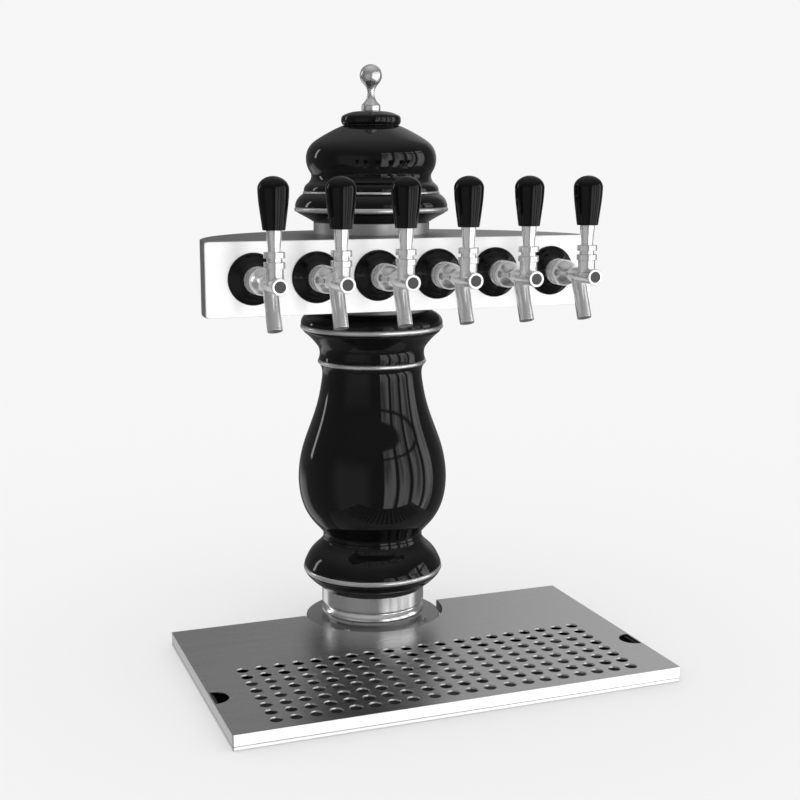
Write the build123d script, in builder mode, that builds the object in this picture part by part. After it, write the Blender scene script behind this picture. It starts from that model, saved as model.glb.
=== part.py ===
"""Six-tap ceramic beer tower with a loose drip tray.

Frame: the origin is on the tower's axis in the plane of the counter top, +Z is up, -Y faces
the person who pours and +X runs along the row of taps. All sizes are in millimetres.
"""

import os
from math import cos, radians, sin, sqrt

from build123d import *

os.makedirs("parts", exist_ok=True)

# ---- driving dimensions -----------------------------------------------------------------

# Foot of the tower
PLATE_R, PLATE_H = 96.0, 10.0          # cast plate that stands on the counter
FLANGE_R, FLANGE_TOP = 98.5, 14.0      # bright disc over the plate
COLUMN_R = 74.7                        # plain cylinder above the flange
COLLAR_TOP, COLLAR_BORE = 57.0, 68.0
FLANGE_SCREW_PCD, COUNTER_BOLT_PCD = 170.0, 160.0
COUNTER_BOLT_R = 3.4                   # tapped M8 holes, from below
FLANGE_SCREW_R = 1.75
WINDOW_IN, WINDOW_OUT, SPOKE_W = 16.0, 60.0, 12.0
ROD_R, ROD_CLEAR = 6.0, 0.2
ROD_BOTTOM, ROD_TOP = 0.8, 752.0
NUT_POCKET_R, NUT_POCKET_H = 11.5, 9.0

# Heights of the joints between the stacked column pieces
FOOT_BAND_Z = (84.0, 92.6)
WAIST_Z = 136.0
BULB_BAND_Z = (389.6, 396.4)
FLARE_BAND_Z = (439.6, 447.6)
SHOULDER_TOP = 465.5
BOX_Z = (479.0, 574.5)
UPPER_COLLAR_TOP = 590.5
DISH_BAND_Z = (604.8, 612.4)
SKIRT_BAND_Z = (629.6, 633.4)
DOME_TOP, BUN_TOP, TOWER_TOP = 723.5, 743.2, 807.0
GASKET_H = 0.8
CERAMIC_WALL = 7.0
BOX_COLLAR_R, BOX_COLLAR_BORE = 81.7, 70.0

# Tap box, half-round in plan with a flat front
BOX_R, FRONT_Y = 271.0, -145.3
SHEET, FLOOR_T, FRONT_T, LID_T = 2.0, 2.5, 3.0, 2.5
BOX_HOLE_R = 66.0
LIP_DEPTH, LIP_GAP = 13.0, 0.3
BOX_SCREW_ANGLES = (25, 57, 90, 123, 155)

# Taps: lengths along a tap are distances D in front of the box's face
TAP_COUNT, TAP_PITCH, TAP_Z = 6, 83.74, 526.9
STEM_D, SPOUT_D, CAP_START, BARREL_END, CAP_END = 101.7, 78.0, 117.0, 120.0, 126.2
BARREL_R, BODY_R, BODY_START = 10.3, 17.2, 38.0
SEAT_D, SEAT_T, SEAT_R = 64.0, 3.0, 5.5
REAR_BORE, FRONT_BORE = 7.6, 8.0
SHANK_R, SHANK_BORE, SHANK_TAIL = 8.0, 4.0, -47.0
ROSETTE_R, ROSETTE_H = 33.5, 14.0
SPOUT_R, SPOUT_BORE, SPOUT_LEN, SPOUT_LEAN = 9.35, 7.8, 59.4, 21.4
PIVOT_Z = 551.5
NECK_R, NECK_BORE, RING_R = 11.0, 8.6, 13.0
LOWER_RING_Z, UPPER_RING_Z = (547.5, 554.8), (559.8, 566.8)
BALL_R, CUP_R, SLEEVE_R = 10.1, 10.5, 9.4
LEVER_PIN_R, LEVER_PIN_CLEAR = 1.5, 0.05
KNOB_Z, KNOB_WIDE_Z, KNOB_TOP = 592.5, 640.7, 656.0
KNOB_R, KNOB_FOOT_R, KNOB_STUD_R, STUD_TOP = 18.8, 13.7, 4.0, 618.0
KNOB_DOME = KNOB_TOP - KNOB_WIDE_Z
FINGER_TIP_Z, TIP_R = 531.0, 1.5

# Drip tray
TRAY_L, TRAY_W, TRAY_TOP, TRAY_BACK = 600.0, 366.0, 20.5, 3.0
FOOT_PAD_H, RIM_H, SEAM = 1.0, 5.6, 0.3
GRID_T, SKIRT_T = 1.5, 2.0
PAN_INSET, PAN_WALL, PAN_FLOOR, PAN_TOP = 5.0, 1.5, 1.5, 18.0
CUTOUT_R = 106.0
RIB_L, RIB_T, RIB_H = 524.0, 1.6, 8.0
HOLE_R, HOLE_PITCH_X, HOLE_PITCH_Y = 7.7, 25.0, 23.57
HOLE_ROWS, FIRST_ROW_Y = 8, -172.0
SIDE_COLUMNS, SIDE_FIRST_X, MIDDLE_COLUMNS = 8, 65.7, 4
NOTCH_R, NOTCH_DEPTH, NOTCH_Y = 19.5, 23.0, -248.0

# Beer and cooling lines
LINE_R, LINE_BORE = 4.75, 3.35
LINE_END_Z = 3.0

TRAY_Y = TRAY_BACK - TRAY_W / 2
TAP_X = [(i - (TAP_COUNT - 1) / 2) * TAP_PITCH for i in range(TAP_COUNT)]
STEM_Y = FRONT_Y - STEM_D
TAP_SIDE = Plane(origin=(0, FRONT_Y, TAP_Z), x_dir=(0, -1, 0), z_dir=(-1, 0, 0))
TAP_AXIS = Axis((0, FRONT_Y, TAP_Z), (0, -1, 0))
STEM_SIDE = Plane(origin=(0, STEM_Y, 0), x_dir=(0, 1, 0), z_dir=(1, 0, 0))
STEM_AXIS = Axis((0, STEM_Y, 0), (0, 0, 1))


def save(part, name):
    """Label a finished piece and write its STEP file."""
    part.label = name
    export_step(part, f"parts/{name}.step")


def turned_shell(name, outline, wall=CERAMIC_WALL):
    """A thick-walled shell turned about the tower's axis, its outside a spline (r, z)."""
    inside = [(r - wall, z) for r, z in outline]
    with BuildPart() as shell:
        with BuildSketch(Plane.XZ):
            with BuildLine():
                Spline(*outline)
                Line(outline[-1], inside[-1])
                Spline(*reversed(inside))
                Line(inside[0], outline[0])
            make_face()
        revolve(axis=Axis.Z)
    save(shell.part, name)


def metal_bands(name, *rings):
    """Flat rings clamped between shells, each with a half-round outer edge: (z range, rim, bore)."""
    with BuildPart() as bands:
        for (low, high), rim_r, bore_r in rings:
            bulge = (high - low) / 2
            with BuildSketch(Plane.XZ):
                with BuildLine():
                    Polyline((rim_r - bulge, low), (bore_r, low), (bore_r, high), (rim_r - bulge, high))
                    ThreePointArc((rim_r - bulge, high), (rim_r, (low + high) / 2), (rim_r - bulge, low))
                make_face()
            revolve(axis=Axis.Z)
    save(bands.part, name)


def at_taps(name, piece):
    """One node that holds a copy of the piece at every tap."""
    with BuildPart() as group:
        with Locations(*[(x, 0, 0) for x in TAP_X]):
            add(piece)
    save(group.part, name)


def one_each(stem, piece):
    """One node per tap for a piece that moves by itself."""
    for number, x in enumerate(TAP_X, start=1):
        with BuildPart() as single:
            with Locations((x, 0, 0)):
                add(piece)
        save(single.part, f"{stem}_{number}")


# ---- foot ---------------------------------------------------------------------------------

with BuildPart() as mount_plate:
    with BuildSketch():
        Circle(PLATE_R)
        Circle(WINDOW_OUT, mode=Mode.SUBTRACT)
        Circle(WINDOW_IN)
        with PolarLocations(WINDOW_OUT / 2, 3, start_angle=90):
            Rectangle(WINDOW_OUT + 4, SPOKE_W)
        with PolarLocations(COUNTER_BOLT_PCD / 2, 4):
            Circle(COUNTER_BOLT_R, mode=Mode.SUBTRACT)
    extrude(amount=PLATE_H)
    with BuildSketch(Plane.XY.offset(PLATE_H)):
        Circle(WINDOW_IN)
    extrude(amount=PLATE_H)
    with BuildSketch():
        Circle(ROD_R + ROD_CLEAR)
    extrude(amount=2 * PLATE_H, mode=Mode.SUBTRACT)
    with BuildSketch():
        Circle(NUT_POCKET_R)
    extrude(amount=NUT_POCKET_H, mode=Mode.SUBTRACT)
    with BuildSketch(Plane.XY.offset(2)):
        with PolarLocations(FLANGE_SCREW_PCD / 2, 4, start_angle=45):
            Circle(FLANGE_SCREW_R)
    extrude(amount=PLATE_H, mode=Mode.SUBTRACT)
save(mount_plate.part, "mount_plate")

with BuildPart() as base_flange:
    with BuildSketch(Plane.XY.offset(PLATE_H)):
        Circle(FLANGE_R)
        Circle(COLLAR_BORE, mode=Mode.SUBTRACT)
        with PolarLocations(FLANGE_SCREW_PCD / 2, 4, start_angle=45):
            Circle(FLANGE_SCREW_R + 0.4, mode=Mode.SUBTRACT)
    extrude(amount=FLANGE_TOP - PLATE_H)
    rim = base_flange.edges().filter_by(GeomType.CIRCLE).group_by(SortBy.RADIUS)[-1]
    fillet(rim.sort_by(Axis.Z)[-1], 1.2)
save(base_flange.part, "base_flange")

with BuildPart() as flange_screw:
    with BuildSketch(Plane.XZ):
        with BuildLine():
            Polyline((0, FLANGE_TOP + 2.8), (0, 4), (FLANGE_SCREW_R, 4), (FLANGE_SCREW_R, FLANGE_TOP),
                     (3.9, FLANGE_TOP))
            ThreePointArc((3.9, FLANGE_TOP), (3.0, FLANGE_TOP + 1.9), (0, FLANGE_TOP + 2.8))
        make_face()
    revolve(axis=Axis.Z)
    with BuildSketch(Plane.XY.offset(FLANGE_TOP + 1.3)):
        Rectangle(4.4, 0.9)
        Rectangle(0.9, 4.4)
    extrude(amount=3, mode=Mode.SUBTRACT)

with BuildPart() as flange_screws:
    with PolarLocations(FLANGE_SCREW_PCD / 2, 4, start_angle=45):
        add(flange_screw.part)
save(flange_screws.part, "flange_screws")

with BuildPart() as base_collar:
    with BuildSketch(Plane.XZ):
        with BuildLine():
            Polyline((COLLAR_BORE, FLANGE_TOP), (80.0, FLANGE_TOP), (79.4, 15.4))
            Spline((79.4, 15.4), (77.6, 18.5), (77.2, 23.0), (76.0, 27.2), (72.2, 30.4))
            Polyline((72.2, 30.4), (71.6, 32.2), (COLUMN_R, 33.8), (COLUMN_R, COLLAR_TOP),
                     (COLLAR_BORE, COLLAR_TOP), (COLLAR_BORE, FLANGE_TOP))
        make_face()
    revolve(axis=Axis.Z)
save(base_collar.part, "base_collar")

# ---- ceramic column and its metal bands --------------------------------------------------

turned_shell("foot_cup", [
    (75.5, COLLAR_TOP + GASKET_H), (83.4, 66.5), (94.3, 76.7), (99.8, FOOT_BAND_Z[0])])
metal_bands("foot_band", (FOOT_BAND_Z, 101.6, 92.0))
turned_shell("foot_cap", [
    (100.6, FOOT_BAND_Z[1]), (98.3, 99.5), (92.5, 110.2), (84.3, 119.3), (73.9, 130.0), (72.5, WAIST_Z)])
turned_shell("column_bulb", [
    (72.3, WAIST_Z + GASKET_H), (77.9, 148.6), (91.7, 165.5), (102.4, 187.5), (107.4, 225.0), (101.0, 268.0),
    (84.3, 315.5), (74.7, 351.4), (71.6, 375.0), (75.4, BULB_BAND_Z[0])])
turned_shell("neck_flare", [
    (76.4, BULB_BAND_Z[1]), (75.2, 406.5), (79.1, 417.0), (90.6, 428.7), (98.6, FLARE_BAND_Z[0])])
metal_bands("neck_bands", (BULB_BAND_Z, 77.9, 66.5), (FLARE_BAND_Z, 102.2, 90.0))
turned_shell("shoulder_cap", [
    (101.6, FLARE_BAND_Z[1]), (100.6, 453.0), (95.5, 460.0), (85.0, SHOULDER_TOP)])


def box_collar(name, low, high):
    """Plain bright ring between the ceramic and the tap box."""
    with BuildPart() as collar:
        with BuildSketch(Plane.XY.offset(low)):
            Circle(BOX_COLLAR_R)
            Circle(BOX_COLLAR_BORE, mode=Mode.SUBTRACT)
        extrude(amount=high - low)
    save(collar.part, name)


box_collar("lower_box_collar", SHOULDER_TOP + GASKET_H, BOX_Z[0])
box_collar("upper_box_collar", BOX_Z[1], UPPER_COLLAR_TOP)

turned_shell("dome_dish", [
    (82.0, UPPER_COLLAR_TOP + GASKET_H), (94.1, 598.2), (102.3, 603.0), (105.0, DISH_BAND_Z[0])])
turned_shell("dome_skirt", [
    (107.5, DISH_BAND_Z[1]), (106.4, 617.5), (103.9, 623.0), (96.8, SKIRT_BAND_Z[0])])
metal_bands("dome_bands", (DISH_BAND_Z, 108.4, 96.0), (SKIRT_BAND_Z, 96.3, 86.5))
turned_shell("dome", [
    (94.9, SKIRT_BAND_Z[1]), (93.6, 639.8), (85.8, 648.0), (84.6, 657.8), (90.4, 670.2), (91.2, 680.0),
    (86.1, 695.0), (73.8, 705.9), (54.6, 716.8), (40.0, DOME_TOP)])

with BuildPart() as bun_cap:
    with BuildSketch(Plane.XZ):
        with BuildLine():
            Polyline((12.0, BUN_TOP), (ROD_R + ROD_CLEAR, BUN_TOP), (ROD_R + ROD_CLEAR, 716),
                     (26.0, 716), (32.0, DOME_TOP + GASKET_H), (39.4, DOME_TOP + GASKET_H))
            Spline((39.4, DOME_TOP + GASKET_H), (41.7, 731.0), (38.6, 737.2), (29.0, 741.5), (12.0, BUN_TOP))
        make_face()
    revolve(axis=Axis.Z)
save(bun_cap.part, "bun_cap")

BALL_R_TOP, BALL_LOW = 15.4, 33.0     # ball on the tip, and how far below its middle it stays round
BALL_Z = TOWER_TOP - BALL_R_TOP
ball_edge = (BALL_R_TOP * cos(radians(BALL_LOW)), BALL_Z - BALL_R_TOP * sin(radians(BALL_LOW)))
with BuildPart() as finial:
    with BuildSketch(Plane.XZ):
        with BuildLine():
            Polyline((0, TOWER_TOP), (0, ROD_TOP), (ROD_R, ROD_TOP), (ROD_R, BUN_TOP), (12.9, BUN_TOP),
                     (12.9, 747.8), (12.0, 749.2))
            Spline((12.0, 749.2), (8.0, 754.2), (4.6, 761.5), (4.8, 767.5), (8.4, 775.4), ball_edge)
            ThreePointArc(ball_edge, (BALL_R_TOP * cos(radians(30)), BALL_Z + BALL_R_TOP * sin(radians(30))),
                          (0, TOWER_TOP))
        make_face()
    revolve(axis=Axis.Z)
save(finial.part, "finial")

with BuildPart() as joint_gaskets:
    for z, inner, outer in ((COLLAR_TOP, 69, 73), (WAIST_Z, 66, 70), (SHOULDER_TOP, 78, 80.5),
                            (UPPER_COLLAR_TOP, 75, 80), (DOME_TOP, 33, 38)):
        with BuildSketch(Plane.XY.offset(z)):
            Circle(outer)
            Circle(inner, mode=Mode.SUBTRACT)
        extrude(amount=GASKET_H)
save(joint_gaskets.part, "joint_gaskets")

with BuildPart() as tie_rod:
    with BuildSketch(Plane.XY.offset(ROD_BOTTOM)):
        Circle(ROD_R)
    extrude(amount=ROD_TOP - ROD_BOTTOM)
save(tie_rod.part, "tie_rod")

with BuildPart() as tie_nut:
    with BuildSketch(Plane.XY.offset(1.5)):
        RegularPolygon(radius=10.4, side_count=6)
        Circle(ROD_R, mode=Mode.SUBTRACT)
    extrude(amount=6.5)
    with BuildSketch(Plane.XY.offset(8)):
        Circle(11.0)
        Circle(ROD_R, mode=Mode.SUBTRACT)
    extrude(amount=1)
save(tie_nut.part, "tie_nut")

# ---- tap box ------------------------------------------------------------------------------


def half_round(inset):
    """Plan of the box behind its front plate, drawn in the open sketch."""
    with Locations((0, FRONT_Y)):
        Circle(BOX_R - inset)
    depth = BOX_R + 20
    with Locations((0, FRONT_Y + FRONT_T + inset + depth / 2)):
        Rectangle(2 * BOX_R + 10, depth, mode=Mode.INTERSECT)


with BuildPart() as box_shell:
    with BuildSketch(Plane.XY.offset(BOX_Z[0])):
        half_round(0)
    extrude(amount=BOX_Z[1] - BOX_Z[0] - LID_T)
    with BuildSketch(Plane.XY.offset(BOX_Z[0] + FLOOR_T)):
        half_round(SHEET)
    extrude(amount=BOX_Z[1] - BOX_Z[0], mode=Mode.SUBTRACT)
    with BuildSketch(Plane.XZ.offset(-FRONT_Y - FRONT_T - SHEET / 2)):
        with Locations((0, (BOX_Z[0] + BOX_Z[1]) / 2)):
            Rectangle(2 * BOX_R - 40, BOX_Z[1] - BOX_Z[0] - 24)
    extrude(amount=SHEET, both=True, mode=Mode.SUBTRACT)
    with BuildSketch(Plane.XY.offset(BOX_Z[0] - 1)):
        Circle(BOX_HOLE_R)
    extrude(amount=FLOOR_T + 2, mode=Mode.SUBTRACT)
    for angle in BOX_SCREW_ANGLES:
        side = Plane(origin=(0, FRONT_Y, BOX_Z[1] - 9), z_dir=(cos(radians(angle)), sin(radians(angle)), 0))
        with BuildSketch(side.offset(BOX_R - 5)):
            Circle(2.0)
        extrude(amount=10, mode=Mode.SUBTRACT)
save(box_shell.part, "box_shell")

with BuildPart() as box_lid:
    with BuildSketch(Plane.XY.offset(BOX_Z[1] - LID_T)):
        half_round(0)
        Circle(BOX_HOLE_R, mode=Mode.SUBTRACT)
    extrude(amount=LID_T)
    with BuildSketch(Plane.XY.offset(BOX_Z[1] - LID_T - LIP_DEPTH)):
        half_round(SHEET + LIP_GAP)
    extrude(amount=LIP_DEPTH)
    with BuildSketch(Plane.XY.offset(BOX_Z[1] - LID_T - LIP_DEPTH)):
        half_round(2 * SHEET + LIP_GAP)
    extrude(amount=LIP_DEPTH, mode=Mode.SUBTRACT)
    for angle in BOX_SCREW_ANGLES:
        side = Plane(origin=(0, FRONT_Y, BOX_Z[1] - 9), z_dir=(cos(radians(angle)), sin(radians(angle)), 0))
        with BuildSketch(side.offset(BOX_R - 8)):
            Circle(1.5)
        extrude(amount=8, mode=Mode.SUBTRACT)
save(box_lid.part, "box_lid")

with BuildPart() as box_front:
    with BuildSketch(Plane.XZ.offset(-FRONT_Y - FRONT_T)):
        with Locations((0, (BOX_Z[0] + BOX_Z[1]) / 2)):
            RectangleRounded(2 * BOX_R, BOX_Z[1] - BOX_Z[0], 4.0)
        with Locations(*[(x, TAP_Z) for x in TAP_X]):
            Circle(SHANK_R, mode=Mode.SUBTRACT)
    extrude(amount=FRONT_T)
    fillet(box_front.faces().sort_by(Axis.Y)[0].outer_wire().edges(), 0.9)
save(box_front.part, "box_front")

with BuildPart() as box_screws:
    for angle in BOX_SCREW_ANGLES:
        side = Plane(origin=(0, FRONT_Y, BOX_Z[1] - 9), z_dir=(cos(radians(angle)), sin(radians(angle)), 0))
        with BuildSketch(side.offset(BOX_R - 7)):
            Circle(1.5)
        extrude(amount=7.2)
        with BuildSketch(side.offset(BOX_R + 0.1)):
            Circle(3.6)
        extrude(amount=1.8, taper=18)
        with BuildSketch(side.offset(BOX_R + 1.0)):
            RegularPolygon(radius=1.6, side_count=6)
        extrude(amount=2, mode=Mode.SUBTRACT)
save(box_screws.part, "box_screws")

# ---- fixed pieces of a tap, drawn at x = 0 ------------------------------------------------

with BuildPart() as shank:
    with BuildSketch(TAP_SIDE):
        with BuildLine():
            Polyline((SHANK_TAIL, SHANK_BORE - 0.65), (SHANK_TAIL, LINE_R), (-30, LINE_R), (-30, SHANK_R),
                     (BODY_START, SHANK_R), (BODY_START, SHANK_BORE - 0.65), (SHANK_TAIL, SHANK_BORE - 0.65))
        make_face()
    revolve(axis=TAP_AXIS)
at_taps("shanks", shank.part)

with BuildPart() as shank_nut:
    with BuildSketch(Plane.XZ.offset(-FRONT_Y - FRONT_T)):
        with Locations((0, TAP_Z)):
            RegularPolygon(radius=14.5, side_count=6)
            Circle(SHANK_R, mode=Mode.SUBTRACT)
    extrude(amount=-8)
at_taps("shank_nuts", shank_nut.part)

with BuildPart() as escutcheon:
    with BuildSketch(TAP_SIDE):
        with BuildLine():
            Polyline((ROSETTE_H, 17.0), (ROSETTE_H, SHANK_R), (0, SHANK_R), (0, ROSETTE_R), (1.4, ROSETTE_R),
                     (3.0, 31.8))
            Spline((3.0, 31.8), (6.2, 26.0), (9.0, 20.5), (ROSETTE_H, 17.0))
        make_face()
    revolve(axis=TAP_AXIS)
at_taps("escutcheons", escutcheon.part)

with BuildPart() as coupling_nut:
    with BuildSketch(TAP_SIDE):
        with BuildLine():
            Polyline((BODY_START, SHANK_R), (ROSETTE_H, SHANK_R), (ROSETTE_H, 15.6), (19.0, 15.6),
                     (19.6, 17.6), (24.0, 17.6), (24.8, 15.8), (28.6, 15.8), (29.4, 17.6), (33.6, 17.6),
                     (34.4, 16.0), (BODY_START, 16.0), (BODY_START, SHANK_R))
        make_face()
    revolve(axis=TAP_AXIS)
at_taps("coupling_nuts", coupling_nut.part)

SPOUT = Plane(origin=(0, FRONT_Y - SPOUT_D, TAP_Z), x_dir=(1, 0, 0),
              z_dir=(0, -sin(radians(SPOUT_LEAN)), -cos(radians(SPOUT_LEAN))))
with BuildPart() as faucet_body:
    with BuildSketch(TAP_SIDE):
        with BuildLine():
            Polyline((BARREL_END, BARREL_R), (BARREL_END, 0), (BODY_START, 0), (BODY_START, 16.2),
                     (BODY_START + 1.2, BODY_R), (45, BODY_R))
            Spline((45, BODY_R), (55, 14.7), (62, 11.6), (69, BARREL_R), tangents=((1, 0), (1, 0)))
            Line((69, BARREL_R), (BARREL_END, BARREL_R))
        make_face()
    revolve(axis=TAP_AXIS)
    with BuildSketch(STEM_SIDE):
        with BuildLine():
            Polyline((0, TAP_Z), (NECK_R, TAP_Z), (NECK_R, LOWER_RING_Z[0]), (RING_R - 0.5, LOWER_RING_Z[0]),
                     (RING_R, LOWER_RING_Z[0] + 0.5), (RING_R, LOWER_RING_Z[1] - 0.5),
                     (RING_R - 0.4, LOWER_RING_Z[1]), (0, LOWER_RING_Z[1]), (0, TAP_Z))
        make_face()
    revolve(axis=STEM_AXIS)
    with BuildSketch(SPOUT):
        Circle(SPOUT_R)
    extrude(amount=SPOUT_LEN)
    # waterways: rear chamber, seat, front bore, spout
    with BuildSketch(TAP_SIDE):
        with BuildLine():
            Polyline((BARREL_END, 0), (BARREL_END, FRONT_BORE), (SEAT_D + SEAT_T, FRONT_BORE),
                     (SEAT_D + SEAT_T, SEAT_R), (SEAT_D, SEAT_R), (SEAT_D, REAR_BORE),
                     (BODY_START, REAR_BORE), (BODY_START, 0), (BARREL_END, 0))
        make_face()
    revolve(axis=TAP_AXIS, mode=Mode.SUBTRACT)
    with BuildSketch(SPOUT):
        Circle(SPOUT_BORE)
    extrude(amount=SPOUT_LEN + 1, mode=Mode.SUBTRACT)
    # socket for the lever's ball, open to the barrel
    cup_floor = PIVOT_Z - sqrt(CUP_R**2 - NECK_BORE**2)
    half_cup = PIVOT_Z - CUP_R * sin(radians(17))
    with BuildSketch(STEM_SIDE):
        with BuildLine():
            Polyline((0, TAP_Z), (NECK_BORE, TAP_Z), (NECK_BORE, cup_floor))
            ThreePointArc((NECK_BORE, cup_floor), (CUP_R * cos(radians(17)), half_cup), (CUP_R, PIVOT_Z))
            Polyline((CUP_R, PIVOT_Z), (10.9, PIVOT_Z + 0.7), (11.9, LOWER_RING_Z[1]),
                     (11.9, LOWER_RING_Z[1] + 1), (0, LOWER_RING_Z[1] + 1), (0, TAP_Z))
        make_face()
    revolve(axis=STEM_AXIS, mode=Mode.SUBTRACT)
    with BuildSketch(Plane.YZ):
        with Locations((STEM_Y, PIVOT_Z)):
            Circle(LEVER_PIN_R)
    extrude(amount=RING_R + 1, both=True, mode=Mode.SUBTRACT)
at_taps("faucet_bodies", faucet_body.part)

with BuildPart() as faucet_cap:
    with BuildSketch(TAP_SIDE):
        with BuildLine():
            Polyline((CAP_START, 0), (CAP_START, FRONT_BORE - 0.05), (BARREL_END, FRONT_BORE - 0.05),
                     (BARREL_END, BARREL_R), (CAP_END - 1.3, BARREL_R))
            ThreePointArc((CAP_END - 1.3, BARREL_R), (CAP_END - 0.38, BARREL_R - 0.38),
                          (CAP_END, BARREL_R - 1.3))
            Polyline((CAP_END, BARREL_R - 1.3), (CAP_END, 7.0), (CAP_END - 0.8, 7.0), (CAP_END - 0.8, 0),
                     (CAP_START, 0))
        make_face()
    revolve(axis=TAP_AXIS)
at_taps("faucet_caps", faucet_cap.part)

with BuildPart() as cap_disc:
    with BuildSketch(Plane.XZ.offset(-FRONT_Y + CAP_END - 0.8)):
        with Locations((0, TAP_Z)):
            Circle(6.95)
    extrude(amount=0.4)
at_taps("cap_discs", cap_disc.part)

with BuildPart() as lever_pin:
    with BuildSketch(Plane.YZ):
        with Locations((STEM_Y, PIVOT_Z)):
            Circle(LEVER_PIN_R)
    extrude(amount=RING_R - 0.3, both=True)
at_taps("lever_pins", lever_pin.part)

# ---- moving pieces of a tap ---------------------------------------------------------------

sleeve_z = PIVOT_Z + sqrt(BALL_R**2 - SLEEVE_R**2)
with BuildPart() as lever:
    with BuildSketch(STEM_SIDE):
        with BuildLine():
            Polyline((0, STUD_TOP), (KNOB_STUD_R, STUD_TOP), (KNOB_STUD_R, KNOB_Z), (9.35, KNOB_Z),
                     (9.2, 585))
            Spline((9.2, 585), (8.0, 574), (7.7, UPPER_RING_Z[1]))
            Polyline((7.7, UPPER_RING_Z[1]), (RING_R - 0.6, UPPER_RING_Z[1]), (RING_R, UPPER_RING_Z[1] - 0.6),
                     (RING_R, UPPER_RING_Z[0] + 0.8), (RING_R - 0.8, UPPER_RING_Z[0]),
                     (SLEEVE_R, UPPER_RING_Z[0]), (SLEEVE_R, sleeve_z))
            ThreePointArc((SLEEVE_R, sleeve_z), (BALL_R, PIVOT_Z), (SLEEVE_R, 2 * PIVOT_Z - sleeve_z))
            Polyline((SLEEVE_R, 2 * PIVOT_Z - sleeve_z), (3.0, 544.0), (TIP_R, FINGER_TIP_Z + TIP_R))
            ThreePointArc((TIP_R, FINGER_TIP_Z + TIP_R),
                          (TIP_R * sqrt(0.5), FINGER_TIP_Z + TIP_R - TIP_R * sqrt(0.5)), (0, FINGER_TIP_Z))
            Line((0, FINGER_TIP_Z), (0, STUD_TOP))
        make_face()
    revolve(axis=STEM_AXIS)
    with BuildSketch(Plane.YZ):
        with Locations((STEM_Y, PIVOT_Z)):
            Circle(LEVER_PIN_R + LEVER_PIN_CLEAR)
    extrude(amount=RING_R + 1, both=True, mode=Mode.SUBTRACT)
one_each("lever", lever.part)

with BuildPart() as knob:
    with BuildSketch(STEM_SIDE):
        with BuildLine():
            Polyline((0, KNOB_TOP), (0, STUD_TOP), (KNOB_STUD_R, STUD_TOP), (KNOB_STUD_R, KNOB_Z),
                     (KNOB_FOOT_R - 0.8, KNOB_Z), (KNOB_FOOT_R, KNOB_Z + 0.8))
            Spline((KNOB_FOOT_R, KNOB_Z + 0.8), (16.8, 617), (KNOB_R, KNOB_WIDE_Z),
                   tangents=((0.12, 1), (0, 1)))
            Spline((KNOB_R, KNOB_WIDE_Z), (KNOB_R * sqrt(0.5), KNOB_WIDE_Z + KNOB_DOME * sqrt(0.5)),
                   (0, KNOB_TOP), tangents=((0, 1), (-1, 0)))
        make_face()
    revolve(axis=STEM_AXIS)
one_each("knob", knob.part)

with BuildPart() as plunger:
    with BuildSketch(TAP_SIDE):
        with BuildLine():
            Polyline((60.4, 0), (60.4, 6.6), (SEAT_D - 0.15, 6.6), (SEAT_D - 0.15, 2.2), (95.5, 2.2),
                     (95.5, 6.3), (108, 6.3), (108, 3.0), (111, 3.0), (111, 7.7), (115, 7.7), (115, 0),
                     (60.4, 0))
        make_face()
    revolve(axis=TAP_AXIS)
    with BuildSketch(Plane.XY.offset(TAP_Z + 2.6)):
        with Locations((0, STEM_Y)):
            Rectangle(8.0, 4.8)
    extrude(amount=6, mode=Mode.SUBTRACT)
one_each("plunger", plunger.part)

# ---- lines --------------------------------------------------------------------------------

line_start_y = FRONT_Y - SHANK_TAIL
# each route: where it turns off behind the shank, and where it drops down the column
line_turns = [(-28 + 38 * (abs(x) > 150) - 32 * (abs(x) < 60)) for x in TAP_X]
line_drops = [(-20, 30), (-32, 2), (-22, -26), (22, -26), (32, 2), (20, 30)]
with BuildPart() as beer_lines:
    for x, turn_y, (drop_x, drop_y) in zip(TAP_X, line_turns, line_drops):
        with BuildLine():
            route = FilletPolyline((x, line_start_y, TAP_Z), (x, turn_y, TAP_Z), (drop_x, drop_y, TAP_Z),
                                   (drop_x, drop_y, LINE_END_Z), radius=22)
        with BuildSketch(Plane(origin=route @ 0, z_dir=route % 0)):
            Circle(LINE_R)
            Circle(LINE_BORE, mode=Mode.SUBTRACT)
        sweep(path=route)
save(beer_lines.part, "beer_lines")

with BuildPart() as line_clamps:
    for x in TAP_X:
        with BuildSketch(Plane.XZ.offset(-line_start_y - 3)):
            with Locations((x, TAP_Z)):
                Circle(LINE_R + 1.3)
                Circle(LINE_R, mode=Mode.SUBTRACT)
        extrude(amount=-7)
save(line_clamps.part, "line_clamps")

with BuildPart() as cooling_lines:
    with BuildSketch(Plane.XY.offset(LINE_END_Z)):
        with Locations((-8, -46), (8, -46)):
            Circle(LINE_R)
            Circle(LINE_BORE, mode=Mode.SUBTRACT)
    extrude(amount=BOX_Z[0] + 30 - LINE_END_Z)
save(cooling_lines.part, "cooling_lines")

# ---- drip tray ----------------------------------------------------------------------------


def tray_plan(inset, cutout_r):
    """Tray outline drawn in the open sketch: a rectangle with the half-round bay for the tower."""
    with Locations((0, TRAY_Y)):
        Rectangle(TRAY_L - 2 * inset, TRAY_W - 2 * inset)
    Circle(cutout_r, mode=Mode.SUBTRACT)


def tray_frame(outer, inner):
    """Closed strip of the tray's outline between two insets, drawn in the open sketch."""
    tray_plan(outer, CUTOUT_R + outer)
    with BuildSketch(mode=Mode.PRIVATE) as inside:
        tray_plan(inner, CUTOUT_R + inner)
    add(inside.sketch, mode=Mode.SUBTRACT)


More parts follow.
